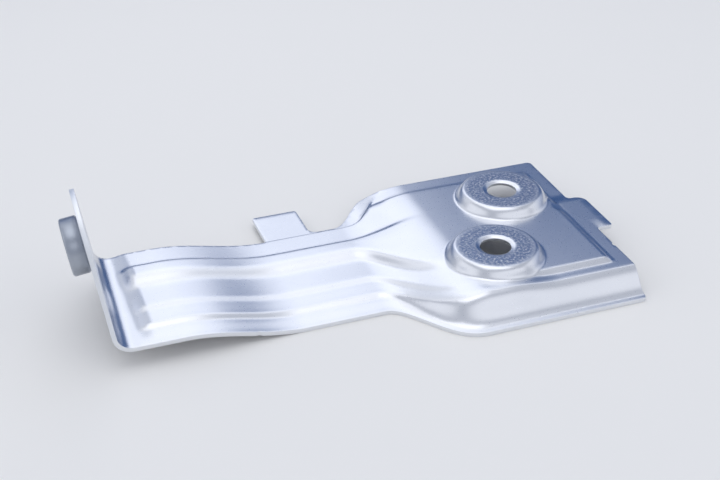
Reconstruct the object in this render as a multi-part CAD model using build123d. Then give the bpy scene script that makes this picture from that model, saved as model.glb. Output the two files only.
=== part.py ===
from build123d import *
import math
import os

# Stamped sheet-steel bracket with a welded round nut.  Millimetres, +Z up.
#
# Origin: midway between the two bolt holes, on the plane of their raised seats.
# +X runs along the bracket from the end flange to the bolted plate, +Y to the rear.
#
# The sheet is one pressed blank.  Its upper surface is a height over X and Y, built
# from named steps: each step is half a cosine wave, so that every fold is rounded.
# Cross sections of the sheet, taken along X, are lofted into one skin.


# ---------------------------------------------------------------- driving sizes
SHEET_T = 1.25              # sheet thickness

# Bolt holes, each through a raised round boss
HOLE_D = 9.0                # bolt hole
HOLE_DX = 15.9              # rear hole from front hole, along X
HOLE_DY = 29.5              # rear hole from front hole, along Y
LIP_W = 1.2                 # width of the sunk lip round each hole
LIP_DEPTH = 0.45            # depth of that lip
SEAT_D = 22.6               # flat seat on a boss
SEAT_Z = 0.0                # level of the seats
BOSS_SIDE = 66.0            # slope of a boss's side, in degrees from level
BOSS_EDGE_R = 2.0           # rounding between a seat and the boss side
BOSS_FOOT_R = 1.2           # fillet at a boss's foot
BOSS_ROOT = 0.9             # the boss side is carried this far down into the plateau's sheet

# Bolted plate
PLATEAU_Z = -3.1            # raised middle of the plate
RIM_Z = -4.2                # rim round the plateau
PLATE_FRONT = -40.0         # front edge, which is the foot's edge
PLATE_REAR = 34.8           # rear edge
PLATE_RIGHT = 27.7          # right edge
PLATEAU_FRONT = -27.7       # middle of the plateau's front step
PLATEAU_REAR = 28.4         # middle of the plateau's rear step
PLATEAU_RIGHT = 22.2        # middle of the plateau's right step
PLATEAU_STEP_W = 2.0        # width of those steps
PLATEAU_FADE_X = -12.0      # left of this the front step has faded into the ramp
PLATEAU_FADE_L = 17.0       # length over which it fades
RIGHT_TAB_OUT = 5.2         # right tab, beyond the right edge
RIGHT_TAB_Y0 = -10.0        # its front side
RIGHT_TAB_Y1 = 8.8          # its rear side
RIGHT_TAB_R = 3.2           # its rear outer corner
RIGHT_TAB_BASE_R = 1.5      # its rear corner against the plate
CORNER_R = 1.4              # corners of the plate
SMALL_R = 0.8               # sharper trimmed corners
NICK_R = 1.2                # radius of the two small nicks in the trimmed edge
NICK_RIGHT_Y, NICK_RIGHT = -20.0, 0.5   # nick in the right edge, and its depth
NICK_ARM_X, NICK_ARM = -80.0, 0.3       # nick in the arm's front edge

# Foot: the front flange that the plate and arm stand on
FOOT_Z = -10.4              # upper face at the edge
FOOT_RISE = 0.3             # the flange rises this much towards the fold
FOLD_INSET = 5.1            # middle of the fold, from the front edge, on the plate
FOLD_W = 7.4                # width of the fold on the plate

# Ramp from the plate down to the arm
RAMP_X0 = -17.0             # upper end
RAMP_L = 25.0               # length
EDGE_X0 = -19.5             # the front edge turns in over this stretch
EDGE_L = 24.0
EDGE_SKEW = 1.35            # how much later than halfway it turns

# Arm
ARM_FRONT = -20.9           # front edge
ARM_REAR = 22.3             # rear edge, left of the rear tab
ARM_LIFT = 5.0              # rise of the arm's far half
LIFT_X0 = -66.0             # where that rise starts
LIFT_L = 34.0
FADE_X0 = -107.0            # the beads die out from here to the bend
FADE_L = 4.4
END_RISE = 0.9              # flat end of the arm above the front edge, midway across
END_TILT = 2.4              # tilt of that flat end about X, in degrees: its rear is higher

# Arm cross section, from the front edge inwards: (middle, width, rise) of each step
STRIP_W, STRIP_RISE = 6.0, 0.5      # front strip slopes up gently
STEP1_AT, STEP1_W, STEP1_RISE = 6.8, 2.6, 0.9
TERRACE_W, TERRACE_RISE = 5.0, 0.2
STEP2_AT, STEP2_W, STEP2_RISE = 14.3, 3.0, 0.5
BEAD_AT, BEAD_W, BEAD_RISE = 26.8, 6.0, 1.6
BEAD_BACK_Y, BEAD_BACK_W, BEAD_DROP = 13.7, 2.8, 1.3    # rear side of the bead, at a set Y
FLANGE_W = 1.6                      # step down to the rear flange
FLANGE_LAND = 0.5                   # level land of that flange beside the tab
FLANGE_RISE = 1.4                   # level of that flange above the foot

# Rear flange between the arm's rear tab and the plate
NOTCH_Y = ARM_REAR + FLANGE_W + FLANGE_LAND     # rear edge beside the tab
REAR_X0 = -30.5             # the rear edge turns out to the plate's over this stretch
REAR_L = 13.0
REAR_TAB_X0 = -64.9         # rear tab, left side
REAR_TAB_X1 = -50.9         # rear tab, right side
REAR_TAB_Y = 39.0           # its outer edge
REAR_TAB_BASE_R = 2.6       # fillet between the tab and the edge to its right
REAR_TAB_LEFT_R = 1.2       # fillet between the tab and the arm's edge to its left
FLANGE_X0 = -20.0           # the flange leaves the rim here and reaches its own level
FLANGE_L = 19.0
FLANGE_TURN_X = -38.5       # the step beside it turns out over this stretch
FLANGE_TURN_L = 17.0
FLANGE_TURN_Y = 12.5
FLANGE_MEET_X = -24.0       # the step beside it meets the plateau's rear step about here
FLANGE_MEET_L = 8.0

# End flange, bent up, with the nut on its outer face
BEND_X = -112.75            # start of the bend, midway across
BEND_SKEW = -2.2            # turn of the bend line about Z: its rear end is nearer the plate
BEND_R = 4.2                # inner bend radius
BEND_ANGLE = 82.1           # bend angle, so the flange leans out by the rest to 90
END_LAND = 1.2              # flat sheet between the pressed part and the bend, midway across
FLANGE_TOP_R = 14.5         # round top of the end flange
NUT_UP = 17.5               # nut axis above the end of the bend, along the flange
NUT_Y = 0.0                 # nut axis across the arm
NUT_D = 15.6
NUT_L = 4.9
NUT_THREAD_D = 8.5          # minor diameter of an M10 thread
NUT_CHAMFER = 0.5
NUT_HOLE_CLEAR = 2.5        # hole in the flange over the thread's minor diameter

# Loft resolution
STATION_STEP = 2.45         # spacing of the cross sections along X
RIM_STATIONS = 6            # cross sections over the plateau's right step
END_STATIONS = 4            # cross sections where the beads die out
SLOPE_SPAN = 0.6            # half of the span that the sheet's slope is taken over
TRIM = 1.0                  # the skin runs past its trimmed edges by this much
ABOVE_Z, BELOW_Z = 6.0, -16.0       # clear of the sheet, above and below


# ---------------------------------------------------------------- helper curves
def smooth(t):
    """Ease from 0 to 1 along half a cosine wave."""
    t = min(max(t, 0.0), 1.0)
    return 0.5 - 0.5 * math.cos(math.pi * t)


def step(value, middle, width):
    """0 below a step, 1 above it."""
    return smooth((value - middle) / width + 0.5)


def mix(a, b, t):
    """Straight blend from a to b."""
    return a + (b - a) * t


def front_edge(x):
    """Y of the front edge: straight on the plate and the arm, an S between them."""
    t = min(max((EDGE_X0 - x) / EDGE_L, 0.0), 1.0)
    return mix(PLATE_FRONT, ARM_FRONT, smooth(t ** EDGE_SKEW))


def rear_edge(x):
    """Y of the trimmed rear edge between the rear tab and the plate: an S."""
    return mix(PLATE_REAR, NOTCH_Y, smooth((REAR_X0 - x) / REAR_L))


def flange_step(x):
    """Y at which the step down to the rear flange starts."""
    return ARM_REAR + FLANGE_TURN_Y * (1 - smooth((FLANGE_TURN_X + FLANGE_TURN_L - x) / FLANGE_TURN_L))


# ---------------------------------------------------------------- height of the sheet
def plate_height(x, y):
    """Foot, fold, rim and plateau."""
    inset = y - front_edge(x)
    foot = FOOT_Z + FOOT_RISE * smooth(inset / FOLD_INSET)
    z = mix(foot, RIM_Z, step(inset, FOLD_INSET, FOLD_W))
    sides = step(-y, -PLATEAU_REAR, PLATEAU_STEP_W) * step(-x, -PLATEAU_RIGHT, PLATEAU_STEP_W)
    front = step(y, PLATEAU_FRONT, PLATEAU_STEP_W)
    faded = 1 - smooth((x - PLATEAU_FADE_X) / PLATEAU_FADE_L)
    above_fold = step(inset, FOLD_INSET + FOLD_W / 4, FOLD_W)
    return z + (PLATEAU_Z - RIM_Z) * sides * mix(front, 1.0, faded) * above_fold


def arm_height(x, y):
    """Front strip, terrace, bead and rear strip, dying out at the bend."""
    inset = y - front_edge(x)
    rise = STRIP_RISE * smooth(inset / STRIP_W)
    rise += STEP1_RISE * step(inset, STEP1_AT, STEP1_W)
    rise += TERRACE_RISE * smooth((inset - STEP1_AT - STEP1_W / 2) / TERRACE_W)
    rise += STEP2_RISE * step(inset, STEP2_AT, STEP2_W)
    rise += BEAD_RISE * step(inset, BEAD_AT, BEAD_W)
    rise -= BEAD_DROP * step(y, BEAD_BACK_Y, BEAD_BACK_W)
    lift = ARM_LIFT * smooth((LIFT_X0 - x) / LIFT_L)
    end = END_RISE + y * math.tan(math.radians(END_TILT))
    return FOOT_Z + lift + mix(rise, end, smooth((FADE_X0 - x) / FADE_L))


def height(x, y):
    """Upper surface of the sheet, without the bosses."""
    z = mix(plate_height(x, y), arm_height(x, y), smooth((RAMP_X0 - x) / RAMP_L))
    if x < FLANGE_X0:
        level = mix(RIM_Z, FOOT_Z + FLANGE_RISE, smooth((FLANGE_X0 - x) / FLANGE_L))
        level += ARM_LIFT * smooth((LIFT_X0 - x) / LIFT_L)
        z = mix(z, level, step(y, flange_step(x) + FLANGE_W / 2, FLANGE_W))
    return z


def depth(x, y):
    """Thickness of the sheet measured straight down, which grows with its slope."""
    d = SLOPE_SPAN
    slope_x = (height(x + d, y) - height(x - d, y)) / (2 * d)
    slope_y = (height(x, y + d) - height(x, y - d)) / (2 * d)
    return SHEET_T * math.sqrt(1 + slope_x ** 2 + slope_y ** 2)


# ---------------------------------------------------------------- cross sections
def breaks(x):
    """Y of each feature line in a section, each with the spans up to the next one."""
    front = front_edge(x)
    crest = BEAD_BACK_Y - BEAD_BACK_W / 2
    beside_flange = smooth((FLANGE_MEET_X - x) / FLANGE_MEET_L)
    drop = mix(PLATEAU_REAR - PLATEAU_STEP_W / 2, flange_step(x), beside_flange)
    return [
        (front, 1),
        (front + FOLD_INSET - FOLD_W / 2, 7),
        (front + FOLD_INSET + FOLD_W / 2, 6),
        (front + STEP2_AT + STEP2_W / 2, 3),
        (front + BEAD_AT - BEAD_W / 2, 4),
        (front + BEAD_AT + BEAD_W / 2, 3),
        (crest, 4),
        (crest + BEAD_BACK_W, 4),
        (drop, 5),
        (drop + mix(PLATEAU_STEP_W, FLANGE_W, beside_flange), 3),
        (REAR_TAB_Y + TRIM, 0),
    ]


def section_ys(x):
    """Y of every point in a section: the same count at every x."""
    lines = breaks(x)
    ys = []
    for (y0, spans), (y1, _) in zip(lines, lines[1:]):
        ys += [mix(y0, y1, i / spans) for i in range(spans)]
    return ys + [lines[-1][0]]


def shares(x):
    """Where each point lies along a section, from 0 to 1."""
    ys = section_ys(x)
    return [(y - ys[0]) / (ys[-1] - ys[0]) for y in ys]


def line_across(x, level):
    """Spline across the sheet at one x, at level(x, y)."""
    along = [mix(a, b, 0.5) for a, b in zip(shares(BEND_X + END_LAND), shares(PLATEAU_RIGHT))]
    return Edge.make_spline([Vector(x, y, level(x, y)) for y in section_ys(x)], parameters=along)


def section(x):
    """Closed outline of the sheet's cross section at one x."""
    upper = line_across(x, height)
    lower = line_across(x, lambda x, y: height(x, y) - depth(x, y))
    sides = [Edge.make_line(upper @ 1, lower @ 1), Edge.make_line(lower @ 0, upper @ 0)]
    return Wire([upper, sides[0], lower, sides[1]])


def loft_between(x0, x1, count):
    """Sheet between two sections, through evenly spaced ones."""
    return Solid.make_loft([section(mix(x0, x1, i / count)) for i in range(count + 1)])


def skin():
    """The whole pressed sheet from the flat end to the right tab, before trimming."""
    start = BEND_X + END_LAND
    rim_start = PLATEAU_RIGHT - PLATEAU_STEP_W / 2
    rim_end = PLATEAU_RIGHT + PLATEAU_STEP_W / 2 + SLOPE_SPAN
    bead_ends = loft_between(start, FADE_X0, END_STATIONS)
    main = loft_between(FADE_X0, rim_start, round((rim_start - FADE_X0) / STATION_STEP))
    rim = loft_between(rim_start, rim_end, RIM_STATIONS)
    run_out = PLATE_RIGHT + RIGHT_TAB_OUT + TRIM - rim_end
    return bead_ends + main + rim + extrude(Face(section(rim_end)), amount=run_out, dir=(1, 0, 0))


# ---------------------------------------------------------------- trimmed outline
def prism(face, z0, z1):
    """A plan face made solid between two heights."""
    return extrude(Pos(0, 0, z0) * face, amount=z1 - z0, dir=(0, 0, 1))


def round_corner(face, x, y, r):
    """Round the corner of a plan face at (x, y)."""
    nearest = face.vertices().sort_by_distance((x, y, 0))[0]
    return fillet(nearest, r)


def blank():
    """Plan outline of the trimmed sheet.  The front edge is left long: the skin ends there."""
    tab_x = PLATE_RIGHT + RIGHT_TAB_OUT
    rear_x1 = REAR_X0 - REAR_L
    turns = 6
    xs = [mix(REAR_X0, rear_x1, i / turns) for i in range(turns + 1)]
    rear_curve = Edge.make_spline([Vector(x, rear_edge(x)) for x in xs], tangents=[(-1, 0), (-1, 0)])
    before = Polyline(
        (rear_x1, NOTCH_Y), (REAR_TAB_X1, NOTCH_Y), (REAR_TAB_X1, REAR_TAB_Y),
        (REAR_TAB_X0, REAR_TAB_Y), (REAR_TAB_X0, ARM_REAR), (BEND_X - TRIM, ARM_REAR),
        (BEND_X - TRIM, PLATE_FRONT - TRIM), (PLATE_RIGHT, PLATE_FRONT - TRIM),
        (PLATE_RIGHT, RIGHT_TAB_Y0), (tab_x, RIGHT_TAB_Y0), (tab_x, RIGHT_TAB_Y1),
        (PLATE_RIGHT, RIGHT_TAB_Y1), (PLATE_RIGHT, PLATE_REAR), (REAR_X0, PLATE_REAR),
    )
    face = make_face([rear_curve] + before.edges())
    for x, y, r in (
        (REAR_TAB_X1, NOTCH_Y, REAR_TAB_BASE_R),
        (REAR_TAB_X1, REAR_TAB_Y, SMALL_R),
        (REAR_TAB_X0, REAR_TAB_Y, SMALL_R),
        (REAR_TAB_X0, ARM_REAR, REAR_TAB_LEFT_R),
        (PLATE_RIGHT, RIGHT_TAB_Y0, SMALL_R),
        (tab_x, RIGHT_TAB_Y0, SMALL_R),
        (tab_x, RIGHT_TAB_Y1, RIGHT_TAB_R),
        (PLATE_RIGHT, RIGHT_TAB_Y1, RIGHT_TAB_BASE_R),
        (PLATE_RIGHT, PLATE_REAR, CORNER_R),
    ):
        face = round_corner(face, x, y, r)
    face -= Pos(PLATE_RIGHT + NICK_R - NICK_RIGHT, NICK_RIGHT_Y) * Circle(NICK_R)
    face -= Pos(NICK_ARM_X, ARM_FRONT - NICK_R + NICK_ARM) * Circle(NICK_R)
    foot = Pos(PLATE_RIGHT - CORNER_R / 2, PLATE_FRONT + CORNER_R / 2) * Rectangle(CORNER_R, CORNER_R)
    foot -= Pos(PLATE_RIGHT - CORNER_R, PLATE_FRONT + CORNER_R) * Circle(CORNER_R)
    return face - foot


# ---------------------------------------------------------------- bolt bosses
def boss_profile(inset, bottom):
    """Half section of a boss, moved inwards by inset from its outer skin, down to bottom."""
    half = math.radians(BOSS_SIDE / 2)
    corner = SEAT_D / 2 + (BOSS_EDGE_R - inset) * math.tan(half)
    top = SEAT_Z - inset
    foot = corner + (top - bottom) / math.tan(2 * half)
    face = make_face(Polyline((0, top), (corner, top), (foot, bottom), (0, bottom), close=True))
    return Plane.XZ * round_corner(face, corner, top, BOSS_EDGE_R - inset)


def turned(face, angle=360):
    """A half section turned round Z."""
    return revolve(face, axis=Axis.Z, revolution_arc=angle)


def hole_cut():
    """Bolt hole and the sunk lip at its upper edge."""
    r = HOLE_D / 2
    return turned(Plane.XZ * make_face(Polyline(
        (0, ABOVE_Z), (r + LIP_W, ABOVE_Z), (r + LIP_W, SEAT_Z), (r, SEAT_Z - LIP_DEPTH),
        (r, BELOW_Z), (0, BELOW_Z), close=True,
    )))


def with_bosses(sheet):
    """Sheet with a hollow boss pressed up round each bolt hole."""
    outer = turned(boss_profile(0, PLATEAU_Z - BOSS_ROOT))
    hollow = turned(boss_profile(SHEET_T, BELOW_Z / 2))
    centres = [Pos(-HOLE_DX / 2, -HOLE_DY / 2), Pos(HOLE_DX / 2, HOLE_DY / 2)]
    for at in centres:
        sheet += at * outer
    for at in centres:
        sheet -= at * hollow
    for at in centres:
        sheet -= at * hole_cut()
    return sheet


# ---------------------------------------------------------------- end flange and nut
def arm_end_z():
    """Upper face of the arm's flat end, midway across."""
    return FOOT_Z + ARM_LIFT + END_RISE


def tilted_end():
    """Frame of the arm's flat end: Z out of its upper face, X towards the plate."""
    return Pos(BEND_X, 0, arm_end_z()) * Rot(END_TILT, 0, 0)


def bend_frame():
    """Frame of the bend: as the flat end's, with Y along the bend line."""
    return tilted_end() * Rot(0, 0, BEND_SKEW)


def arm_sides():
    """Both side edges of the arm's flat end, measured along its tilted face."""
    return [y / math.cos(math.radians(END_TILT)) for y in (ARM_FRONT, ARM_REAR)]


def end_land():
    """Flat sheet from the last cross section to the bend line."""
    front, rear = arm_sides()
    lean = -math.tan(math.radians(BEND_SKEW))
    face = make_face(Polyline(
        (front * lean, front), (END_LAND, front), (END_LAND, rear), (rear * lean, rear), close=True,
    ))
    return tilted_end() * extrude(face, amount=-SHEET_T)


def flange_plane():
    """Outer face of the end flange, in the bend's frame.  X runs along the bend, Y up the flange."""
    lean = math.radians(BEND_ANGLE)
    inner = Vector(math.sin(lean), 0, math.cos(lean))
    centre = Vector(0, 0, BEND_R)
    return Plane(centre - inner * (BEND_R + SHEET_T), x_dir=(0, 1, 0), z_dir=inner)


def end_flange():
    """Bend and round-topped flange, with the hole behind the nut."""
    front, rear = [y / math.cos(math.radians(BEND_SKEW)) for y in arm_sides()]
    end = Plane(origin=(0, (front + rear) / 2, -SHEET_T / 2), x_dir=(0, 1, 0), z_dir=(1, 0, 0))
    strip = end * Rectangle(rear - front, SHEET_T)
    bend = revolve(strip, axis=Axis((0, 0, BEND_R), (0, 1, 0)), revolution_arc=BEND_ANGLE)
    top = Pos(NUT_Y, NUT_UP) * Circle(FLANGE_TOP_R)
    outline = make_hull(top.edges() + Line((front, 0), (rear, 0)).edges())
    outline -= Pos(NUT_Y, NUT_UP) * Circle((NUT_THREAD_D + NUT_HOLE_CLEAR) / 2)
    return bend_frame() * (bend + extrude(flange_plane() * outline, amount=SHEET_T))


def weld_nut():
    """Round nut on the outer face of the end flange."""
    ring = Circle(NUT_D / 2) - Circle(NUT_THREAD_D / 2)
    nut = extrude(ring, amount=NUT_L)
    nut = chamfer(nut.faces().sort_by(Axis.Z)[-1].edges(), NUT_CHAMFER)
    seat = flange_plane()
    outward = Plane(seat.from_local_coords((NUT_Y, NUT_UP, 0)), x_dir=seat.x_dir, z_dir=seat.z_dir * -1)
    return bend_frame() * (outward * nut)


def bracket():
    """The pressed sheet, trimmed, pierced and bent up at its end."""
    sheet = skin() & prism(blank(), BELOW_Z, ABOVE_Z)
    return with_bosses(sheet) + end_land() + end_flange()


if __name__ == "__main__":
    os.makedirs("parts", exist_ok=True)
    export_step(bracket(), "parts/bracket.step")
    export_step(weld_nut(), "parts/weld_nut.step")
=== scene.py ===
import enum
import logging
import math
from dataclasses import dataclass, field

import bmesh
import bpy
import numpy as np
from mathutils import Euler, Matrix, Vector
from mathutils.geometry import delaunay_2d_cdt


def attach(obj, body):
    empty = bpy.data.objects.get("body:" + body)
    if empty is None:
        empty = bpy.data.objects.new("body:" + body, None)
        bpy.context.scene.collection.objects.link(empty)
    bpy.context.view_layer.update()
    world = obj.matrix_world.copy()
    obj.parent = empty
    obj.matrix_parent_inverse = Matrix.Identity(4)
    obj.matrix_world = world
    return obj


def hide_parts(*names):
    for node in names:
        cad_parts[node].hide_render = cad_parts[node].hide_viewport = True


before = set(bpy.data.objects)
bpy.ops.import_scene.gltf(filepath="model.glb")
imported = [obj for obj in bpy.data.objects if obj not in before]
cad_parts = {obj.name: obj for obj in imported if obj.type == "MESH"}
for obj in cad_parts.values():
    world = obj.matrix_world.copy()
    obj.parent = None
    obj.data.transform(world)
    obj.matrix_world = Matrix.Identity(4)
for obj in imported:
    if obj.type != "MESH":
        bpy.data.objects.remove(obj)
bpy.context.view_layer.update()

log = logging.getLogger("bracket")
MM = 0.001
ROOT = "root"
MIX_A, MIX_B, MIX_COLOUR = 6, 7, 2      # numbers of a Mix node's two colour inputs and its colour output
EDGE_SLOT = 1                           # the sheet's material slots: 0 for its skins, 1 for its edges
CDT_INSIDE, CDT_NEAR = 1, 1e-6          # triangulate what the edges enclose; merge points nearer than this

Point = tuple[float, float]
Place = tuple[float, float, float]


# ---------------------------------------------------------------- small helpers
def smooth(t: float) -> float:
    """Ease from 0 to 1 along half a cosine wave."""
    t = min(max(t, 0.0), 1.0)
    return 0.5 - 0.5 * math.cos(math.pi * t)


def step(value: float, middle: float, width: float) -> float:
    """Return 0 below a step and 1 above it."""
    return smooth((value - middle) / width + 0.5)


def mix(a: float, b: float, t: float) -> float:
    """Blend straight from a to b."""
    return a + (b - a) * t


def soft_max(a: float, b: float, blend: float) -> float:
    """Return the higher of two levels with a fillet where they cross.

    Args:
        a: First level.
        b: Second level.
        blend: Level difference within which the two are rounded together.

    Returns:
        The rounded maximum.
    """
    h = max(blend - abs(a - b), 0.0) / blend
    return max(a, b) + h * h * blend / 4


def circle(cx: float, cy: float, r: float, count: int, turn: float = 0.0) -> list[Point]:
    """Return evenly spaced points round a circle.

    Args:
        cx: Centre X.
        cy: Centre Y.
        r: Radius.
        count: Number of points.
        turn: Share of one spacing by which the first point is turned.

    Returns:
        The points, anticlockwise.
    """
    angles = [2 * math.pi * (k + turn) / count for k in range(count)]
    return [(cx + r * math.cos(a), cy + r * math.sin(a)) for a in angles]


def srgb(code: str) -> tuple[float, float, float, float]:
    """Turn an sRGB hex code into a linear colour.

    Args:
        code: Six hex digits.

    Returns:
        Linear red, green and blue, and an alpha of 1.
    """
    parts = [int(code[i:i + 2], 16) / 255 for i in (0, 2, 4)]
    red, green, blue = [c / 12.92 if c <= 0.04045 else ((c + 0.055) / 1.055) ** 2.4 for c in parts]
    return red, green, blue, 1.0


def add(tree: bpy.types.NodeTree, kind: str, links: dict | None = None, **settings: object) -> bpy.types.Node:
    """Add a node with its settings and links.

    Args:
        tree: The node tree.
        kind: Blender's name for the node's type.
        links: Input name or number to the output socket or the value that feeds it.
        **settings: Properties set on the node.

    Returns:
        The new node.
    """
    node = tree.nodes.new(kind)
    for name, value in settings.items():
        setattr(node, name, value)
    for name, source in (links or {}).items():
        if isinstance(source, bpy.types.NodeSocket):
            tree.links.new(source, node.inputs[name])
        else:
            node.inputs[name].default_value = source
    return node


def finished(name: str, bm: bmesh.types.BMesh, materials: list[bpy.types.Material]) -> bpy.types.Object:
    """Make a smooth-shaded object at the origin from a bmesh in metres.

    Args:
        name: Object name.
        bm: The mesh, which is freed.
        materials: Material slots, in order.

    Returns:
        The object, linked to the scene.
    """
    mesh = bpy.data.meshes.new(name)
    for face in bm.faces:
        face.smooth = True
    bm.to_mesh(mesh)
    bm.free()
    for material in materials:
        mesh.materials.append(material)
    piece = bpy.data.objects.new(name, mesh)
    bpy.context.scene.collection.objects.link(piece)
    return piece


# ---------------------------------------------------------------- finishes
def new_material(name: str) -> tuple[bpy.types.Material, bpy.types.NodeTree, bpy.types.Node]:
    """Start a material.

    Args:
        name: The material's name.

    Returns:
        The material, its tree and its Principled shader.
    """
    material = bpy.data.materials.new(name)
    material.use_nodes = True
    tree = material.node_tree
    return material, tree, tree.nodes["Principled BSDF"]


@dataclass(frozen=True)
class ZincSheet:
    """Bright zinc, barrel-plated on pressed cold-rolled steel sheet.

    The plating is a satin: its fine crystals break up its reflections into a soft sheen.
    Bolt heads have rubbed the seats to darker rings with bright specks.
    """

    name: str = "bright_zinc_plated_pressed_sheet"
    pale: str = "E8E9EC"
    deep: str = "DADCE1"
    roughness: float = 0.28
    rough_spread: float = 0.015
    grain_mm: float = 0.55          # the plating's crystals, drawn coarse enough to show
    grain_share: float = 0.1        # their part in the change of tone; the rest is the cloud's
    grain_levels: Point = (0.3, 0.7)        # levels of the grain that span the change of roughness
    grain_bump: float = 0.005
    grain_depth_mm: float = 0.05
    cloud_mm: float = 16.0          # slow change of tone over the plating
    scuff_dark: str = "8492AE"
    scuff_light: str = "F2F0EC"
    scuff_rough: float = 0.40
    scuff_inner: float = 5.9        # radii of a rubbed ring's borders
    scuff_outer: float = 10.9
    inner_soft: float = 0.3         # half-widths over which they fade
    outer_soft: float = 0.9
    ragged_mm: float = 2.2          # size of the waves in the borders
    ragged_by: float = 1.1          # and how far they swing
    height_share: float = 0.25      # how much a height counts in the distance from a hole's centre
    speck_mm: float = 0.75
    speck_levels: Point = (0.48, 0.66)      # levels of the pattern at which specks start and are brightest
    scuff_bump: float = 0.5
    scuff_depth_mm: float = 0.08

    def make(self, bosses: list[Point]) -> bpy.types.Material:
        """Build the material.

        Args:
            bosses: Centres of the bolt seats, in millimetres.

        Returns:
            The material.
        """
        material, tree, shader = new_material(self.name)
        place = add(tree, "ShaderNodeTexCoord").outputs["Object"]
        crystals = add(tree, "ShaderNodeTexNoise", {
            "Vector": place, "Scale": 1 / (self.grain_mm * MM), "Detail": 3.0, "Roughness": 0.6})
        grain = crystals.outputs["Fac"]
        cloud = add(tree, "ShaderNodeTexNoise", {
            "Vector": place, "Scale": 1 / (self.cloud_mm * MM), "Detail": 3.0, "Roughness": 0.55})
        slow = add(tree, "ShaderNodeMath", {0: cloud.outputs["Fac"], 1: 1 - self.grain_share},
                   operation="MULTIPLY")
        tone = add(tree, "ShaderNodeMath", {0: grain, 1: self.grain_share, 2: slow.outputs[0]},
                   operation="MULTIPLY_ADD")
        worn, speck = self._scuffs(tree, place, bosses)
        plated = add(tree, "ShaderNodeMix", {
            "Factor": tone.outputs[0], MIX_A: srgb(self.deep), MIX_B: srgb(self.pale)}, data_type="RGBA")
        scuffed = add(tree, "ShaderNodeMix", {
            "Factor": speck, MIX_A: srgb(self.scuff_dark), MIX_B: srgb(self.scuff_light)}, data_type="RGBA")
        colour = add(tree, "ShaderNodeMix", {
            "Factor": worn, MIX_A: plated.outputs[MIX_COLOUR], MIX_B: scuffed.outputs[MIX_COLOUR]},
            data_type="RGBA")
        tree.links.new(colour.outputs[MIX_COLOUR], shader.inputs["Base Color"])
        half = self.rough_spread / 2
        rough = add(tree, "ShaderNodeMapRange", {
            "Value": grain, "From Min": self.grain_levels[0], "From Max": self.grain_levels[1],
            "To Min": self.roughness - half, "To Max": self.roughness + half})
        rougher = add(tree, "ShaderNodeMix", {"Factor": worn, "A": rough.outputs[0], "B": self.scuff_rough},
                      data_type="FLOAT")
        tree.links.new(rougher.outputs[0], shader.inputs["Roughness"])
        fine = add(tree, "ShaderNodeBump", {
            "Height": grain, "Strength": self.grain_bump, "Distance": self.grain_depth_mm * MM})
        rub = add(tree, "ShaderNodeMath", {0: worn, 1: speck}, operation="MULTIPLY")
        rubbed = add(tree, "ShaderNodeBump", {
            "Height": rub.outputs[0], "Strength": self.scuff_bump, "Distance": self.scuff_depth_mm * MM,
            "Normal": fine.outputs["Normal"]})
        tree.links.new(rubbed.outputs["Normal"], shader.inputs["Normal"])
        shader.inputs["Metallic"].default_value = 1.0
        return material

    def _scuffs(self, tree: bpy.types.NodeTree, place: bpy.types.NodeSocket, bosses: list[Point]
                ) -> tuple[bpy.types.NodeSocket, bpy.types.NodeSocket]:
        """Make the mask of the rubbed rings on the two seats, and the specks inside it.

        Args:
            tree: The material's tree.
            place: Object coordinates.
            bosses: Seat centres in millimetres.

        Returns:
            The ring mask and the speck pattern.
        """
        ragged = add(tree, "ShaderNodeTexNoise", {
            "Vector": place, "Scale": 1 / (self.ragged_mm * MM), "Detail": 4.0})
        wander = add(tree, "ShaderNodeMath", {
            0: ragged.outputs["Fac"], 1: self.ragged_by * MM, 2: -self.ragged_by / 2 * MM},
            operation="MULTIPLY_ADD")
        rings = []
        for x, y in bosses:
            apart = add(tree, "ShaderNodeVectorMath", {0: place, 1: (x * MM, y * MM, 0.0)},
                        operation="SUBTRACT")
            flat = add(tree, "ShaderNodeVectorMath", {0: apart.outputs[0], 1: (1.0, 1.0, self.height_share)},
                       operation="MULTIPLY")
            away = add(tree, "ShaderNodeVectorMath", {0: flat.outputs[0]}, operation="LENGTH")
            r = add(tree, "ShaderNodeMath", {0: away.outputs["Value"], 1: wander.outputs[0]}, operation="ADD")
            inner = add(tree, "ShaderNodeMapRange", {
                "Value": r.outputs[0], "From Min": (self.scuff_inner - self.inner_soft) * MM,
                "From Max": (self.scuff_inner + self.inner_soft) * MM})
            outer = add(tree, "ShaderNodeMapRange", {
                "Value": r.outputs[0], "From Min": (self.scuff_outer + self.outer_soft) * MM,
                "From Max": (self.scuff_outer - self.outer_soft) * MM})
            ring = add(tree, "ShaderNodeMath", {0: inner.outputs[0], 1: outer.outputs[0]},
                       operation="MULTIPLY")
            rings.append(ring.outputs[0])
        worn = add(tree, "ShaderNodeMath", dict(enumerate(rings)), operation="MAXIMUM")
        specks = add(tree, "ShaderNodeTexNoise", {
            "Vector": place, "Scale": 1 / (self.speck_mm * MM), "Detail": 5.0, "Roughness": 0.7})
        bright = add(tree, "ShaderNodeValToRGB", {"Fac": specks.outputs["Fac"]})
        black, white = bright.color_ramp.elements
        black.position, white.position = self.speck_levels
        return worn.outputs[0], bright.outputs["Color"]


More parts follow.
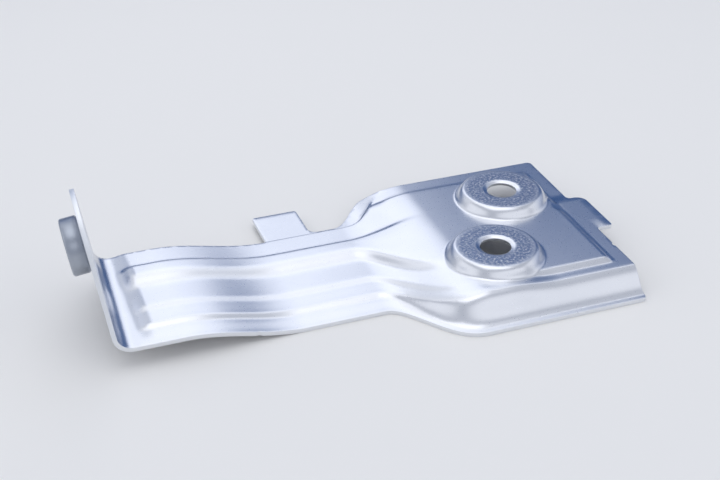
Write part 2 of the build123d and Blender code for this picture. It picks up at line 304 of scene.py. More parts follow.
@dataclass(frozen=True)
class PlainZinc:
    """Zinc-plated steel of one colour, with a fine grain."""

    name: str
    colour: str
    roughness: float
    grain_mm: float
    grain_bump: float
    grain_depth_mm: float = 0.04

    def make(self) -> bpy.types.Material:
        """Build the material.

        Returns:
            The material.
        """
        material, tree, shader = new_material(self.name)
        place = add(tree, "ShaderNodeTexCoord").outputs["Object"]
        grain = add(tree, "ShaderNodeTexNoise", {
            "Vector": place, "Scale": 1 / (self.grain_mm * MM), "Detail": 3.0})
        bump = add(tree, "ShaderNodeBump", {
            "Height": grain.outputs["Fac"], "Strength": self.grain_bump,
            "Distance": self.grain_depth_mm * MM})
        tree.links.new(bump.outputs["Normal"], shader.inputs["Normal"])
        shader.inputs["Base Color"].default_value = srgb(self.colour)
        shader.inputs["Metallic"].default_value = 1.0
        shader.inputs["Roughness"].default_value = self.roughness
        return material


@dataclass(frozen=True)
class ShearedEdge(PlainZinc):
    """Sheared sheet edge with thin zinc over it: rougher than the faces, and paler as painted highlight along
    the edges.
    """

    name: str = "sheared_edge_zinc_and_painted_highlight"
    # paler than the faces: painted highlight along the sheared edges
    colour: str = "EDEFF2"
    roughness: float = 0.5
    grain_mm: float = 0.4
    grain_bump: float = 0.35


@dataclass(frozen=True)
class ZincNut(PlainZinc):
    """Bright zinc on turned steel: greyer and rougher than the sheet."""

    name: str = "bright_zinc_plated_turned_steel"
    colour: str = "A9AFB9"
    roughness: float = 0.34
    grain_mm: float = 0.6
    grain_bump: float = 0.2


# ---------------------------------------------------------------- the pressed sheet
class Side(enum.Enum):
    """The sheet's two skins."""

    UPPER = 0
    UNDER = 1


@dataclass
class Bosses:
    """Two round seats pressed up from the plate, each with a sunk lip and a bolt hole."""

    hole_d: float = 9.0
    dx: float = 15.9                # from one hole's centre to the other
    dy: float = 29.5
    lip_w: float = 1.2
    lip_depth: float = 0.45
    seat_d: float = 22.6
    side: float = 66.0              # degrees, of the flank's slope
    edge_blend: float = 2.9         # roundings of the seat's edge and of the flank's foot
    foot_blend: float = 1.2
    reach: float = 17.0             # past this radius a boss leaves the sheet alone
    mesh_r: float = 16.2            # inside this one the mesh runs in rings
    rings: tuple[float, ...] = (
        4.8, 5.1, 5.4, 5.8, 6.4, 7.2, 8.2, 9.2, 10.0, 10.5, 10.9, 11.25, 11.6, 11.95, 12.3,
        12.7, 13.1, 13.5, 13.9, 14.3, 14.75, 15.2, 15.7)    # close together over each curve
    few: int = 72                   # points of a ring inside few_r
    few_r: float = 9.5
    many: int = 120                 # and of a ring outside it

    def centres(self) -> list[Point]:
        """Return the front and the rear hole's centre."""
        return [(-self.dx / 2, -self.dy / 2), (self.dx / 2, self.dy / 2)]

    def nearest(self, x: float, y: float) -> float:
        """Return the distance to the nearer hole's centre."""
        return min(math.hypot(x - a, y - b) for a, b in self.centres())

    def mesh_points(self) -> list[Point]:
        """Lay the rings of mesh points, each turned half a spacing from the one before.

        Returns:
            Points round both holes.
        """
        points = []
        for cx, cy in self.centres():
            for n, r in enumerate(self.rings):
                points += circle(cx, cy, r, self.few if r < self.few_r else self.many, 0.5 * (n % 2))
        return points

    def level(self, r: float) -> float:
        """Work out the height of a boss.

        Args:
            r: Distance from its centre.

        Returns:
            The height, 0 on the seat.
        """
        slope = math.tan(math.radians(self.side))
        corner = self.seat_d / 2 + self.edge_blend / slope
        return -soft_max(0.0, (r - corner) * slope, self.edge_blend)

    def lip(self, r: float) -> float:
        """Return how far the lip is sunk at a distance from the hole's centre."""
        return self.lip_depth * smooth((self.hole_d / 2 + self.lip_w - r) / self.lip_w)


@dataclass(frozen=True)
class Step:
    """Pressed step along the arm: the place of its middle across the arm, its width and its rise."""

    middle: float
    width: float
    rise: float

    def level(self, place: float) -> float:
        """Return how far the step has risen at a place across it."""
        return self.rise * step(place, self.middle, self.width)


@dataclass
class PressedForm:
    """Height of the sheet's upper skin over its plan, in millimetres."""

    thickness: float = 1.25
    bosses: Bosses = field(default_factory=Bosses)
    plateau_z: float = -3.1         # levels of the plateau, of the rim round it and of the foot
    rim_z: float = -4.2
    foot_z: float = -10.4
    foot_rise: float = 0.3
    plate_front: float = -40.0
    plate_rear: float = 34.8
    plate_right: float = 27.7
    plateau_front: float = -27.7
    plateau_rear: float = 28.4
    plateau_right: float = 22.2
    plateau_w: float = 2.0          # width of the plateau's border
    fade_x: float = -12.0           # the front border fades out as it rises over this length
    fade_l: float = 17.0
    fold_inset: float = 5.1         # middle of the fold down to the foot, from the front edge
    fold_w: float = 7.4
    ramp_x0: float = -17.0          # the plate turns into the arm from here
    ramp_l: float = 25.0
    edge_x0: float = -19.5          # and its front edge draws in
    edge_l: float = 24.0
    edge_skew: float = 1.35
    arm_front: float = -20.9
    arm_rear: float = 22.3
    arm_lift: float = 5.0           # rise of the whole arm towards its end
    lift_x0: float = -66.0
    lift_l: float = 34.0
    bead_end_x0: float = -107.0     # the beads run out to the arm's plain end
    bead_end_l: float = 4.4
    end_rise: float = 0.9
    end_tilt: float = 2.4           # degrees: the arm's end is higher at its rear
    strip_w: float = 6.0            # strip along the arm's front edge
    strip_rise: float = 0.5
    step1: Step = Step(6.8, 2.6, 0.9)       # steps, from the front edge
    terrace_w: float = 5.0
    terrace_rise: float = 0.2
    step2: Step = Step(14.3, 3.0, 0.5)
    bead: Step = Step(26.8, 6.0, 1.6)
    bead_back: Step = Step(13.7, 2.8, -1.3)         # the bead's fall, which runs at this Y
    flange_w: float = 1.6           # step down to the rear flange
    flange_rise: float = 1.4
    flange_x0: float = -20.0
    flange_l: float = 19.0
    turn_x: float = -38.5           # the step turns outwards beside the plate
    turn_l: float = 17.0
    turn_y: float = 12.5
    slope_span: float = 0.6         # half-width over which slopes are measured

    @property
    def end_z(self) -> float:
        """Level of the arm's plain end on its middle line."""
        return self.foot_z + self.arm_lift + self.end_rise

    def front_edge(self, x: float) -> float:
        """Return the Y of the front edge."""
        t = min(max((self.edge_x0 - x) / self.edge_l, 0.0), 1.0)
        return mix(self.plate_front, self.arm_front, smooth(t ** self.edge_skew))

    def flange_step(self, x: float) -> float:
        """Return the Y at which the step down to the rear flange starts."""
        return self.arm_rear + self.turn_y * (1 - smooth((self.turn_x + self.turn_l - x) / self.turn_l))

    def plate(self, x: float, y: float) -> float:
        """Return the level of the foot, fold, rim and plateau.

        Args:
            x: Place along the bracket.
            y: Place across it.

        Returns:
            The level.
        """
        inset = y - self.front_edge(x)
        foot = self.foot_z + self.foot_rise * smooth(inset / self.fold_inset)
        z = mix(foot, self.rim_z, step(inset, self.fold_inset, self.fold_w))
        sides = step(-y, -self.plateau_rear, self.plateau_w) * step(-x, -self.plateau_right, self.plateau_w)
        front = step(y, self.plateau_front, self.plateau_w)
        faded = 1 - smooth((x - self.fade_x) / self.fade_l)
        above_fold = step(inset, self.fold_inset + self.fold_w / 4, self.fold_w)
        return z + (self.plateau_z - self.rim_z) * sides * mix(front, 1.0, faded) * above_fold

    def arm(self, x: float, y: float) -> float:
        """Return the level of the arm's strips and beads.

        Args:
            x: Place along the bracket.
            y: Place across it.

        Returns:
            The level.
        """
        inset = y - self.front_edge(x)
        rise = self.strip_rise * smooth(inset / self.strip_w)
        rise += self.step1.level(inset)
        along = inset - self.step1.middle - self.step1.width / 2
        rise += self.terrace_rise * smooth(along / self.terrace_w)
        rise += self.step2.level(inset)
        rise += self.bead.level(inset)
        rise += self.bead_back.level(y)
        lift = self.arm_lift * smooth((self.lift_x0 - x) / self.lift_l)
        ended = smooth((self.bead_end_x0 - x) / self.bead_end_l)
        end = self.end_rise + y * math.tan(math.radians(self.end_tilt))
        return self.foot_z + lift + mix(rise, end, ended)

    def sheet(self, x: float, y: float) -> float:
        """Return the level of the sheet without its bosses.

        Args:
            x: Place along the bracket.
            y: Place across it.

        Returns:
            The level.
        """
        z = mix(self.plate(x, y), self.arm(x, y), smooth((self.ramp_x0 - x) / self.ramp_l))
        if x < self.flange_x0:
            away = smooth((self.flange_x0 - x) / self.flange_l)
            level = mix(self.rim_z, self.foot_z + self.flange_rise, away)
            level += self.arm_lift * smooth((self.lift_x0 - x) / self.lift_l)
            z = mix(z, level, step(y, self.flange_step(x) + self.flange_w / 2, self.flange_w))
        return z

    def pressed(self, x: float, y: float) -> float:
        """Return the level of the sheet with its bosses, before the holes are pierced.

        Args:
            x: Place along the bracket.
            y: Place across it.

        Returns:
            The level.
        """
        z = self.sheet(x, y)
        r = self.bosses.nearest(x, y)
        return soft_max(z, self.bosses.level(r), self.bosses.foot_blend) if r < self.bosses.reach else z

    def upper(self, x: float, y: float) -> float:
        """Return the level of the upper skin."""
        return self.pressed(x, y) - self.bosses.lip(self.bosses.nearest(x, y))

    def under(self, x: float, y: float) -> float:
        """Return the level of the under skin, one thickness below along the slope.

        Args:
            x: Place along the bracket.
            y: Place across it.

        Returns:
            The level.
        """
        d = self.slope_span
        slope_x = (self.pressed(x + d, y) - self.pressed(x - d, y)) / (2 * d)
        slope_y = (self.pressed(x, y + d) - self.pressed(x, y - d)) / (2 * d)
        return self.pressed(x, y) - self.thickness * math.sqrt(1 + slope_x ** 2 + slope_y ** 2)


@dataclass
class EndFlange:
    """Bend and round-topped flange, laid out flat beyond the arm's end.

    The flat pattern's places are the sheet's own: run is measured from the bend line, away
    from the arm, and across along that line.  The line lies askew on the arm's tilted end.
    """

    end_z: float
    tilt: float                     # degrees, of the arm's end about X
    bend_x: float = -112.75
    skew: float = -2.2              # degrees, of the bend line on the tilted end
    bend_r: float = 4.2             # of the inner skin
    angle: float = 82.1             # degrees that the flange is bent up
    top_r: float = 14.5
    nut_up: float = 17.5            # of the nut's axis, from the bend's end
    nut_y: float = 0.0
    hole_d: float = 11.0
    top_points: int = 72

    @property
    def bend_run(self) -> float:
        """Length of the bend on its inner skin."""
        return self.bend_r * math.radians(self.angle)

    @property
    def bend_frame(self) -> Matrix:
        """Place of the bend line: X towards the plate, Y along the line, in millimetres."""
        tilted = Matrix.Rotation(math.radians(self.tilt), 4, "X")
        turned = Matrix.Rotation(math.radians(self.skew), 4, "Z")
        return Matrix.Translation((self.bend_x, 0, self.end_z)) @ (tilted @ turned)

    def flat(self, run: float, across: float) -> Point:
        """Return a place in the flat pattern, as seen in plan.

        Args:
            run: Distance beyond the bend line.
            across: Distance along it.

        Returns:
            The place.
        """
        lean, squash = math.radians(self.skew), math.cos(math.radians(self.tilt))
        x = self.bend_x - run * math.cos(lean) - across * math.sin(lean)
        return x, (across * math.cos(lean) - run * math.sin(lean)) * squash

    def along(self, u: float, y: float) -> Point:
        """Return a place of the flat pattern as the bend line sees it.

        Args:
            u: Place along the bracket.
            y: Place across it.

        Returns:
            Distances beyond the bend line and along it.
        """
        lean, squash = math.radians(self.skew), math.cos(math.radians(self.tilt))
        du, dy = u - self.bend_x, y / squash
        return -(du * math.cos(lean) + dy * math.sin(lean)), dy * math.cos(lean) - du * math.sin(lean)

    def place(self, u: float, y: float, below: float) -> Vector:
        """Bend a point of the flat pattern up.

        Args:
            u: Place along the flat pattern, beyond the bend line.
            y: Place across it.
            below: Depth under the inner skin.

        Returns:
            The point, in millimetres.
        """
        run, across = self.along(u, y)
        turned = min(run / self.bend_r, math.radians(self.angle))
        normal = Vector((math.sin(turned), 0, math.cos(turned)))
        rising = Vector((-math.cos(turned), 0, math.sin(turned)))
        centre = Vector((0, across, self.bend_r))
        beyond = rising * max(run - self.bend_run, 0.0)
        return self.bend_frame @ (centre - normal * (self.bend_r + below) + beyond)

    def centre_flat(self) -> Point:
        """Return the nut's axis in the flat pattern."""
        return self.flat(self.bend_run + self.nut_up, self.nut_y)

    def ends(self, front: float, rear: float) -> list[float]:
        """Return both ends of the bend line, measured along it, for the Y of the arm's two edges."""
        squash = math.cos(math.radians(self.tilt)) * math.cos(math.radians(self.skew))
        return [front / squash, rear / squash]

    def side_points(self, front: float, rear: float) -> list[Point]:
        """Lay out the flange's edge: two tangents to its round top.

        Args:
            front: Y of the arm's front edge.
            rear: Y of its rear edge.

        Returns:
            Points from the rear foot over the top to the front foot.
        """
        front, rear = self.ends(front, rear)
        points = [self.flat(0.0, rear), self.flat(self.bend_run, rear)]
        turns = []
        for across, sign in ((rear, 1), (front, -1)):
            away = math.hypot(self.nut_up, across - self.nut_y)
            facing = math.atan2(across - self.nut_y, self.nut_up)
            turns.append(facing + sign * math.acos(self.top_r / away))
        start, end = turns[0], turns[1] + 2 * math.pi
        for i in range(self.top_points + 1):
            a = mix(start, end, i / self.top_points)
            run = self.bend_run + self.nut_up - self.top_r * math.cos(a)
            points.append(self.flat(run, self.nut_y + self.top_r * math.sin(a)))
        return points + [self.flat(self.bend_run, front), self.flat(0.0, front)]


@dataclass(frozen=True)
class Nick:
    """Small round nick in an edge: its place along the edge, its radius and its depth."""

    at: float
    r: float
    deep: float

    def cut(self, place: float) -> float:
        """Return how deep the nick cuts at a place along the edge."""
        off = place - self.at
        return max(0.0, math.sqrt(max(self.r * self.r - off * off, 0.0)) - (self.r - self.deep))


@dataclass
class SheetOutline:
    """Trimmed outline of the sheet in its flat pattern."""

    form: PressedForm
    end: EndFlange
    right_tab: tuple[float, float, float] = (32.9, -10.0, 8.8)      # outer X, front Y and rear Y
    rear_tab: tuple[float, float, float] = (-64.9, -50.9, 39.0)     # left X, right X and outer Y
    notch_y: float = 24.4           # the rear edge draws in to here, beside the rear tab
    rear_x0: float = -30.5
    rear_l: float = 13.0
    nick_right: Nick = Nick(-20.0, 1.2, 0.5)        # in the plate's right edge, at a Y
    nick_arm: Nick = Nick(-80.0, 1.2, 0.3)          # in the arm's front edge, at an X
    plate_r: float = 1.4            # corner radii: of the plate,
    tab_r: float = 0.8              # of the tabs,
    tab_far_r: float = 3.2          # of the right tab's outer rear corner
    tab_root_r: float = 1.5         # and its rear root,
    notch_r: float = 2.6            # beside the rear tab, to its right
    rear_root_r: float = 1.2        # and to its left
    edge_points: int = 240
    turn_points: int = 32
    nick_points: int = 6            # each side of the right edge's nick
    nick_step: float = 0.25
    arc_spacing: float = 0.3
    spacing: float = 0.6
    least: float = 0.08             # nearer points are dropped

    def rounded(self, x: float, y: float, before: Point, after: Point, r: float) -> list[Point]:
        """Round one right-angled corner.

        Args:
            x: Corner X.
            y: Corner Y.
            before: Unit direction of travel into the corner.
            after: Unit direction of travel out of it.
            r: Radius.

        Returns:
            Points along the arc.
        """
        cx, cy = x - before[0] * r + after[0] * r, y - before[1] * r + after[1] * r
        count = round(r * math.pi / 2 / self.arc_spacing)
        points = []
        for i in range(count + 1):
            a = math.pi / 2 * i / count
            points.append((cx - after[0] * r * math.cos(a) + before[0] * r * math.sin(a),
                           cy - after[1] * r * math.cos(a) + before[1] * r * math.sin(a)))
        return points

    def corners(self) -> list[Point]:
        """Go round the sheet, anticlockwise from above.

        Returns:
            Points at corners and along curves.
        """
        f = self.form
        right, up, left, down = (1, 0), (0, 1), (-1, 0), (0, -1)
        tab_x, tab_y0, tab_y1 = self.right_tab
        rear_x0, rear_x1, rear_y = self.rear_tab
        start = self.end.side_points(f.arm_front, f.arm_rear)[-1][0]
        points = []
        for i in range(1, self.edge_points):
            x = mix(start, f.plate_right - self.plate_r, i / self.edge_points)
            points.append((x, f.front_edge(x) + self.nick_arm.cut(x)))
        points += self.rounded(f.plate_right, f.plate_front, right, up, self.plate_r)
        for i in range(-self.nick_points, self.nick_points + 1):
            y = self.nick_right.at + i * self.nick_step
            points.append((f.plate_right - self.nick_right.cut(y), y))
        points += self.rounded(f.plate_right, tab_y0, up, right, self.tab_r)
        points += self.rounded(tab_x, tab_y0, right, up, self.tab_r)
        points += self.rounded(tab_x, tab_y1, up, left, self.tab_far_r)
        points += self.rounded(f.plate_right, tab_y1, left, up, self.tab_root_r)
        points += self.rounded(f.plate_right, f.plate_rear, up, left, self.plate_r)
        for i in range(self.turn_points + 1):
            t = i / self.turn_points
            points.append((self.rear_x0 - self.rear_l * t, mix(f.plate_rear, self.notch_y, smooth(t))))
        points += self.rounded(rear_x1, self.notch_y, left, up, self.notch_r)
        points += self.rounded(rear_x1, rear_y, up, left, self.tab_r)
        points += self.rounded(rear_x0, rear_y, left, down, self.tab_r)
        points += self.rounded(rear_x0, f.arm_rear, down, left, self.rear_root_r)
        return points + self.end.side_points(f.arm_front, f.arm_rear)

    def loop(self) -> list[Point]:
        """Fill the outline in with evenly spaced points.

        Returns:
            The closed outline.
        """
        corners = self.corners()
        points = []
        for (x0, y0), (x1, y1) in zip(corners, corners[1:] + corners[:1]):
            count = max(1, math.ceil(math.hypot(x1 - x0, y1 - y0) / self.spacing))
            points += [(mix(x0, x1, i / count), mix(y0, y1, i / count)) for i in range(count)]
        kept = [points[0]]
        for p in points[1:]:
            if math.dist(p, kept[-1]) > self.least:
                kept.append(p)
        return kept


@dataclass
class PressedSheet:
    """The bracket's sheet: pressed, trimmed, pierced and bent up at its end."""

    form: PressedForm = field(default_factory=PressedForm)
    end: EndFlange = field(init=False)
    edge_round: float = 0.17        # bevel of the sheared edges
    station: float = 0.7            # from one mesh line across the sheet to the next
    clear: float = 0.3              # inner points keep this far from an edge
    margin: float = 6.0             # mesh lines run on past the plate before they are trimmed
    terrace_end: float = 13.6       # the mesh changes its spacing here, from the front edge
    beside_x0: float = -24.0        # from here the mesh follows the rear flange's step
    beside_l: float = 8.0
    drop_before: float = 0.2        # and is dense this far before and after its start
    drop_after: float = 1.9
    hole_points: int = 72
    bend_rows: int = 14
    flange_rows: int = 24
    flange_row: float = 1.4         # from one row to the next
    flange_columns: int = 40
    batch: int = 200                # border points that inner points are compared with at a time

    def __post_init__(self) -> None:
        """Set the flange on the arm's end."""
        self.end = EndFlange(self.form.end_z, self.form.end_tilt)

    def outline(self) -> SheetOutline:
        """Return the trimmed outline."""
        return SheetOutline(self.form, self.end)

    def holes(self) -> list[tuple[float, float, float]]:
        """List the holes in the flat pattern.

        Returns:
            Each hole's centre and radius.
        """
        r = self.form.bosses.hole_d / 2
        end_hole = (*self.end.centre_flat(), self.end.hole_d / 2)
        return [(x, y, r) for x, y in self.form.bosses.centres()] + [end_hole]

    def lines(self, x: float) -> list[float]:
        """Return the Y of the mesh points at one station: close together over each step.

        A mark gives where a stretch starts and how many spaces it has.

        Args:
            x: Station along the plate or the arm.

        Returns:
            Rising Y values.
        """
        f = self.form
        front = f.front_edge(x)
        beside = smooth((self.beside_x0 - x) / self.beside_l)
        drop = mix(f.plateau_rear - f.plateau_w / 2, f.flange_step(x), beside)
        crest = f.bead_back.middle - f.bead_back.width / 2
        marks = [
            (front, 2),
            (front + f.fold_inset - f.fold_w / 2, 16),
            (front + f.fold_inset + f.fold_w / 2, 7),
            (front + self.terrace_end, 5),
            (front + f.step2.middle + f.step2.width / 2, 7),
            (front + f.bead.middle - f.bead.width / 2, 9),
            (front + f.bead.middle + f.bead.width / 2, 4),
            (crest, 7),
            (crest + f.bead_back.width, 9),
            (drop - self.drop_before, 6),
            (drop + self.drop_after, 9),
            (f.plate_rear + self.margin, 0),
        ]
        ys = []
        for (y0, count), (y1, _) in zip(marks, marks[1:]):
            ys += [mix(y0, y1, i / count) for i in range(count)]
        return ys

    def inner_points(self) -> list[Point]:
        """Lay the mesh points of the arm and plate, of the bosses and of the end flange.

        Returns:
            The points, before those outside the outline or near an edge are dropped.
        """
        f = self.form
        points = []
        start = self.end.flat(0.0, f.arm_front)[0]
        stop = f.plate_right + self.margin
        count = round((stop - start) / self.station)
        for i in range(count + 1):
            x = mix(start, stop, i / count)
            points += [(x, y) for y in self.lines(x)
                       if f.bosses.nearest(x, y) > f.bosses.mesh_r and self.end.along(x, y)[0] < -self.clear]
        points += f.bosses.mesh_points()
        runs = [self.end.bend_run * i / self.bend_rows for i in range(self.bend_rows + 1)]
        runs += [self.end.bend_run + self.flange_row * i for i in range(1, self.flange_rows + 1)]
        front, rear = self.end.ends(f.arm_front, f.arm_rear)
        for run in runs:
            points += [self.end.flat(run, mix(front, rear, k / self.flange_columns))
                       for k in range(self.flange_columns + 1)]
        return points

    def pattern(self) -> tuple[list[Vector], list[list[int]]]:
        """Triangulate the flat pattern inside its outline and round its holes.

        No operator trims a dense sheet to a rounded outline and keeps its shading even,
        so the points and the outline go through a constrained triangulation.

        Returns:
            Points in the plane and triangles.
        """
        loops = [self.outline().loop()]
        loops += [circle(cx, cy, r, self.hole_points) for cx, cy, r in self.holes()]
        fixed, edges = [], []
        for loop in loops:
            start = len(fixed)
            fixed += loop
            edges += [(start + i, start + (i + 1) % len(loop)) for i in range(len(loop))]
        border = np.array(fixed)
        inner = np.array(self.inner_points())
        keep = inside(inner, np.array(loops[0]))
        for cx, cy, r in self.holes():
            keep &= np.hypot(inner[:, 0] - cx, inner[:, 1] - cy) > r
        for part in range(0, len(border), self.batch):
            chunk = border[part:part + self.batch]
            apart = np.hypot(inner[:, 0, None] - chunk[:, 0], inner[:, 1, None] - chunk[:, 1])
            keep &= apart.min(axis=1) > self.clear
        coords = [Vector(p) for p in fixed] + [Vector(p) for p in inner[keep].tolist()]
        verts, _, faces, *_ = delaunay_2d_cdt(coords, edges, [], CDT_INSIDE, CDT_NEAR)
        kept = []
        for face in faces:
            middle = sum((verts[i] for i in face), Vector((0.0, 0.0))) / len(face)
            if all(math.dist(middle, (cx, cy)) > r for cx, cy, r in self.holes()):
                kept.append(list(face))
        return verts, kept

    def placed(self, u: float, y: float, side: Side) -> Vector:
        """Place a point of the flat pattern on one skin.

        Args:
            u: Place along the bracket.
            y: Place across it.
            side: The skin.

        Returns:
            The point, in millimetres.
        """
        if self.end.along(u, y)[0] > 0.0:
            return self.end.place(u, y, 0.0 if side is Side.UPPER else self.form.thickness)
        z = self.form.upper(u, y) if side is Side.UPPER else self.form.under(u, y)
        return Vector((u, y, z))

    def build(self, face_finish: bpy.types.Material, edge_finish_and_painted_highlight: bpy.types.Material) -> bpy.types.Object:
        """Build the sheet.

        Args:
            face_finish: Material of the two skins.
            edge_finish_and_painted_highlight: Material of the sheared edges, made paler as painted highlight.

        Returns:
            The finished piece.
        """
        flat, triangles = self.pattern()
        bm = bmesh.new()
        layers = bm.verts.layers.float
        at_u, at_y = [layers.new(name) for name in ("flat_u", "flat_y")]
        corners = []
        for p in flat:
            vert = bm.verts.new(self.placed(p.x, p.y, Side.UPPER) * MM)
            vert[at_u], vert[at_y] = p.x, p.y
            corners.append(vert)
        for triangle in triangles:
            bm.faces.new([corners[i] for i in triangle])
        bmesh.ops.delete(bm, geom=[v for v in bm.verts if not v.link_faces], context="VERTS")
        upper = set(bm.verts)
        bmesh.ops.extrude_face_region(bm, geom=bm.faces[:])
        for vert in bm.verts:
            if vert not in upper:
                vert.co = self.placed(vert[at_u], vert[at_y], Side.UNDER) * MM
        walls = [f for f in bm.faces if 0 < sum(v in upper for v in f.verts) < len(f.verts)]
        wall_set = set(walls)
        rims = [e for e in bm.edges if sum(f in wall_set for f in e.link_faces) == 1]
        for wall in walls:
            wall.material_index = EDGE_SLOT
        bmesh.ops.recalc_face_normals(bm, faces=bm.faces[:])
        bmesh.ops.bevel(bm, geom=rims, offset=self.edge_round * MM, segments=2, profile=0.5, material=-1,
                        affect="EDGES", clamp_overlap=True)
        for name in ("flat_u", "flat_y"):
            layers.remove(layers[name])
        return finished("pressed_sheet", bm, [face_finish, edge_finish_and_painted_highlight])


def inside(points: np.ndarray, loop: np.ndarray) -> np.ndarray:
    """Tell which points lie inside a closed loop, by counting crossings.

    Args:
        points: Points, one per row.
        loop: Loop corners, one per row.

    Returns:
        True for each point inside.
    """
    within = np.zeros(len(points), dtype=bool)
    ahead = np.roll(loop, -1, axis=0)
    for (x0, y0), (x1, y1) in zip(loop, ahead):
        if y0 == y1:
            continue
        spans = (points[:, 1] >= min(y0, y1)) & (points[:, 1] < max(y0, y1))
        crossing = x0 + (points[:, 1] - y0) * (x1 - x0) / (y1 - y0)
        within ^= spans & (points[:, 0] < crossing)
    return within


# ---------------------------------------------------------------- the welded nut
@dataclass
class RoundNut:
    """Round nut on the outer face of the end flange, with a real thread in its bore."""

    end: EndFlange
    flange_t: float
    width: float = 15.6
    length: float = 4.9
    minor_d: float = 8.5
    major_d: float = 10.0
    pitch: float = 1.5
    chamfer: float = 0.5            # round the outer end
    root_gap: float = 0.35          # groove round the foot
    foot_ease: Point = (0.15, 0.12)         # eased corners, inwards and along the axis: of the foot,
    shoulder_ease: Point = (0.12, 0.1)      # above the groove
    crown_ease: Point = (0.12, 0.28)        # and half-way round the chamfer
    shoulder: float = 0.3           # the full width starts this far above the groove
    turn_points: int = 96
    thread_rows: int = 56
    ridge_root: float = 0.375       # half-widths of the thread's ridge, in pitches
    ridge_crest: float = 0.125
    mouth: float = 0.9              # length over which the ridge rises at each end
    merge: float = 1e-4             # nearer points are one

    def axis_frame(self) -> Matrix:
        """Set the nut on the flange's outer skin.

        Returns:
            Its place, with +Z outwards, from millimetres to metres.
        """
        lean = math.radians(self.end.angle)
        turned = self.end.bend_frame.to_3x3()
        outward = turned @ Vector((-math.sin(lean), 0, -math.cos(lean)))
        up = turned @ Vector((-math.cos(lean), 0, math.sin(lean)))
        side = up.cross(outward)
        origin = self.end.place(*self.end.centre_flat(), self.flange_t)
        axes = Matrix((side, up, outward)).transposed().to_4x4()
        return Matrix.Scale(MM, 4) @ Matrix.Translation(origin) @ axes

    def build(self, finish: bpy.types.Material) -> bpy.types.Object:
        """Turn the nut's profile and cut its thread.

        Args:
            finish: The nut's material.

        Returns:
            The finished piece.
        """
        bm = bmesh.new()
        bore, outer, c, g = self.major_d / 2, self.width / 2, self.chamfer, self.root_gap
        foot, shoulder, crown = self.foot_ease, self.shoulder_ease, self.crown_ease
        profile = [
            (bore, 0.0),
            (outer - g - foot[0], 0.0),
            (outer - g, foot[1]),
            (outer - g, g),
            (outer - shoulder[0], g + shoulder[1]),
            (outer, g + self.shoulder),
            (outer, self.length - c),
            (outer - crown[0], self.length - crown[1]),
            (outer - c, self.length),
            (bore, self.length),
        ]
        verts = [bm.verts.new((r, 0.0, z)) for r, z in profile]
        edges = [bm.edges.new(pair) for pair in zip(verts, verts[1:])]
        bmesh.ops.spin(bm, geom=verts + edges, cent=(0, 0, 0), axis=(0, 0, 1), angle=2 * math.pi,
                       steps=self.turn_points, use_merge=True)
        self._thread(bm)
        bmesh.ops.remove_doubles(bm, verts=bm.verts[:], dist=self.merge)
        bmesh.ops.recalc_face_normals(bm, faces=bm.faces[:])
        bm.transform(self.axis_frame())
        return finished("weld_nut_body", bm, [finish])

    def _thread(self, bm: bmesh.types.BMesh) -> None:
        """Line the bore with one helical thread.

        Args:
            bm: The nut's mesh, in millimetres, with open ends at the major diameter.
        """
        grid = bmesh.ops.create_grid(bm, x_segments=self.turn_points, y_segments=self.thread_rows, size=0.5)
        minor, major = self.minor_d / 2, self.major_d / 2
        for vert in grid["verts"]:
            turn, along = vert.co.x + 0.5, vert.co.y + 0.5
            z = along * self.length
            phase = (z / self.pitch - turn) % 1.0
            flank = (self.ridge_root - abs(phase - 0.5)) / (self.ridge_root - self.ridge_crest)
            ridge = min(max(flank, 0.0), 1.0)
            mouth = min(1.0, z / self.mouth, (self.length - z) / self.mouth)
            r = major - (major - minor) * ridge * max(mouth, 0.0)
            a = 2 * math.pi * turn
            vert.co = Vector((r * math.cos(a), r * math.sin(a), z))


# ---------------------------------------------------------------- the studio
@dataclass(frozen=True)
class Softbox:
    """Soft rectangular light, in metres.

    Its radiance is the brightness that it adds to the room behind it; 1 shows as white.
    """

    name: str
    at: Place
    size: Point
    radiance: float
    aim: Place

    def hang(self) -> None:
        """Add the light to the scene."""
        lamp = bpy.data.lights.new(self.name, "AREA")
        lamp.shape = "RECTANGLE"
        lamp.size, lamp.size_y = self.size
        lamp.energy = self.radiance * math.pi * self.size[0] * self.size[1]
        holder = bpy.data.objects.new(self.name, lamp)
        holder.location = self.at
        facing = (Vector(self.aim) - Vector(self.at)).to_track_quat("-Z", "Y")
        holder.rotation_euler = facing.to_matrix().to_euler()
        holder.visible_camera = False
        bpy.context.scene.collection.objects.link(holder)


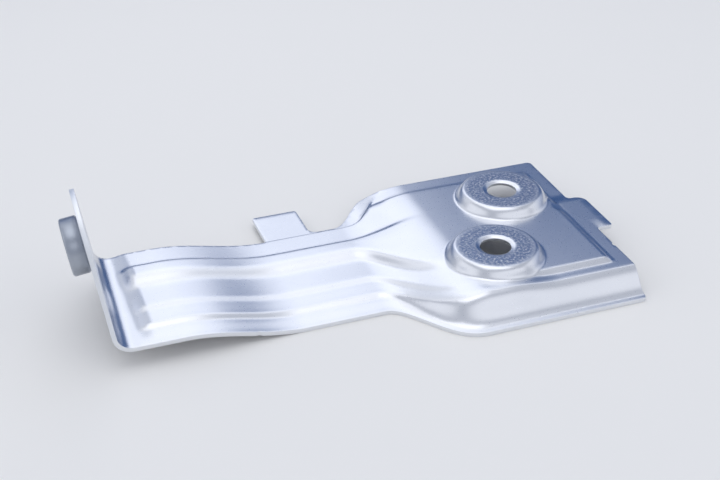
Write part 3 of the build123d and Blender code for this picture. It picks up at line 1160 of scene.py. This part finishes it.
@dataclass
class Studio:
    """Pale floor, soft lights and the camera."""

    floor_z: float                  # millimetres
    floor_colour: str = "F2F0EC"
    floor_rough: float = 0.9
    floor_shine: float = 0.1
    floor_half: float = 3.0         # metres
    dim_side: Place = (0.45, 0.75, -0.45)   # towards the darkest part of the room
    room: tuple[tuple[float, str], ...] = (
        (0.0, "BEC3CF"), (0.20, "AAB3C5"), (0.36, "7486AA"), (0.47, "345A90"), (1.0, "264E86"))
    back: float = 0.40              # Y of the boxes behind, in metres
    camera_at: Place = (-152.36, -298.68, 191.8)    # millimetres
    pitch: float = 31.0             # degrees: down, to the right and about the line of sight
    heading: float = 20.0
    roll: float = -0.2
    lens: float = 65.0
    near: float = 0.01              # nothing nearer than this is drawn, in metres

    def floor(self) -> None:
        """Build the floor."""
        material, _, shader = new_material("matt_pale_paper")
        shader.inputs["Base Color"].default_value = srgb(self.floor_colour)
        shader.inputs["Roughness"].default_value = self.floor_rough
        shader.inputs["Specular IOR Level"].default_value = self.floor_shine
        bm = bmesh.new()
        bmesh.ops.create_grid(bm, x_segments=1, y_segments=1, size=self.floor_half)
        bmesh.ops.translate(bm, verts=bm.verts[:], vec=(0, 0, self.floor_z * MM))
        floor = finished("floor", bm, [material])

    def world(self) -> None:
        """Light the room: dim and blue low down behind, to the right, and paler everywhere else.

        The stops go from square to the dim side, at 0, to straight towards it, at 1.
        """
        world = bpy.data.worlds.new("studio")
        bpy.context.scene.world = world
        world.use_nodes = True
        tree = world.node_tree
        tree.nodes.clear()
        direction = add(tree, "ShaderNodeTexCoord").outputs["Generated"]
        dim_side = Vector(self.dim_side).normalized()
        toward = add(tree, "ShaderNodeVectorMath", {0: direction, 1: tuple(dim_side)},
                     operation="DOT_PRODUCT")
        shades = add(tree, "ShaderNodeValToRGB", {"Fac": toward.outputs["Value"]})
        stops = shades.color_ramp.elements
        while len(stops) < len(self.room):
            stops.new(0.5)
        for stop, (position, colour) in zip(stops, self.room):
            stop.position, stop.color = position, srgb(colour)
        shade = add(tree, "ShaderNodeBackground", {"Color": shades.outputs["Color"], "Strength": 1.0})
        add(tree, "ShaderNodeOutputWorld", {"Surface": shade.outputs[0]})

    def softboxes(self) -> list[Softbox]:
        """List the lights: five behind, whose images lie on the sheet, and four round about.

        Returns:
            The softboxes.
        """
        back = self.back
        return [
            Softbox("left_back_box", (-0.27, back, 0.365), (0.46, 0.51), 0.34, (-0.29, 0.0, 0.365)),
            Softbox("low_back_box", (0.02, back, 0.18), (0.18, 0.14), 0.95, (0.03, 0.0, 0.18)),
            Softbox("middle_back_box", (0.045, back, 0.30), (0.23, 0.10), 1.12, (0.05, 0.0, 0.30)),
            Softbox("upper_back_box", (0.12, back, 0.485), (0.36, 0.27), 0.94, (0.12, 0.0, 0.485)),
            Softbox("high_back_box", (0.10, back, 0.95), (1.20, 0.66), 0.68, (0.10, 0.0, 0.95)),
            Softbox("top_box", (-0.15, -0.10, 1.20), (1.1, 0.9), 0.92, (-0.15, -0.10, 0.0)),
            Softbox("front_box", (0.12, -0.70, 0.48), (1.35, 0.36), 0.50, (0.0, 0.0, 0.0)),
            Softbox("right_box", (0.72, 0.02, 0.30), (0.8, 0.5), 0.42, (0.0, 0.0, 0.0)),
            Softbox("left_box", (-0.80, 0.05, 0.35), (0.9, 0.5), 0.50, (-0.1, 0.0, 0.0)),
        ]

    def camera(self) -> None:
        """Set the camera."""
        data = bpy.data.cameras.new("camera")
        data.lens = self.lens
        data.clip_start = self.near
        holder = bpy.data.objects.new("camera", data)
        holder.location = Vector(self.camera_at) * MM
        turn = Euler((math.radians(90 - self.pitch), 0, math.radians(-self.heading)), "XYZ").to_matrix()
        holder.rotation_euler = (turn @ Matrix.Rotation(math.radians(self.roll), 3, "Z")).to_euler()
        bpy.context.scene.collection.objects.link(holder)
        bpy.context.scene.camera = holder

    def build(self) -> None:
        """Set up the whole stage."""
        self.floor()
        self.world()
        for softbox in self.softboxes():
            softbox.hang()
        self.camera()
        bpy.context.scene.view_settings.view_transform = "Standard"


def dress(piece: bpy.types.Object, node: str) -> None:
    """Make a piece stand for a CAD node, on the one rigid body, and report it.

    Args:
        piece: The piece.
        node: Name of the CAD node.
    """
    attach(piece, ROOT)
    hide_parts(node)
    log.info("%s: %d faces, for node %s", piece.name, len(piece.data.polygons), node)


def main() -> None:
    """Build the bracket, its nut and the studio."""
    logging.basicConfig(level=logging.INFO)
    sheet = PressedSheet()
    face_finish = ZincSheet().make(sheet.form.bosses.centres())
    dress(sheet.build(face_finish, ShearedEdge().make()), "bracket")
    nut = RoundNut(sheet.end, sheet.form.thickness)
    dress(nut.build(ZincNut().make()), "weld_nut")
    Studio(sheet.form.foot_z - sheet.form.thickness).build()


if __name__ == "__main__":
    main()
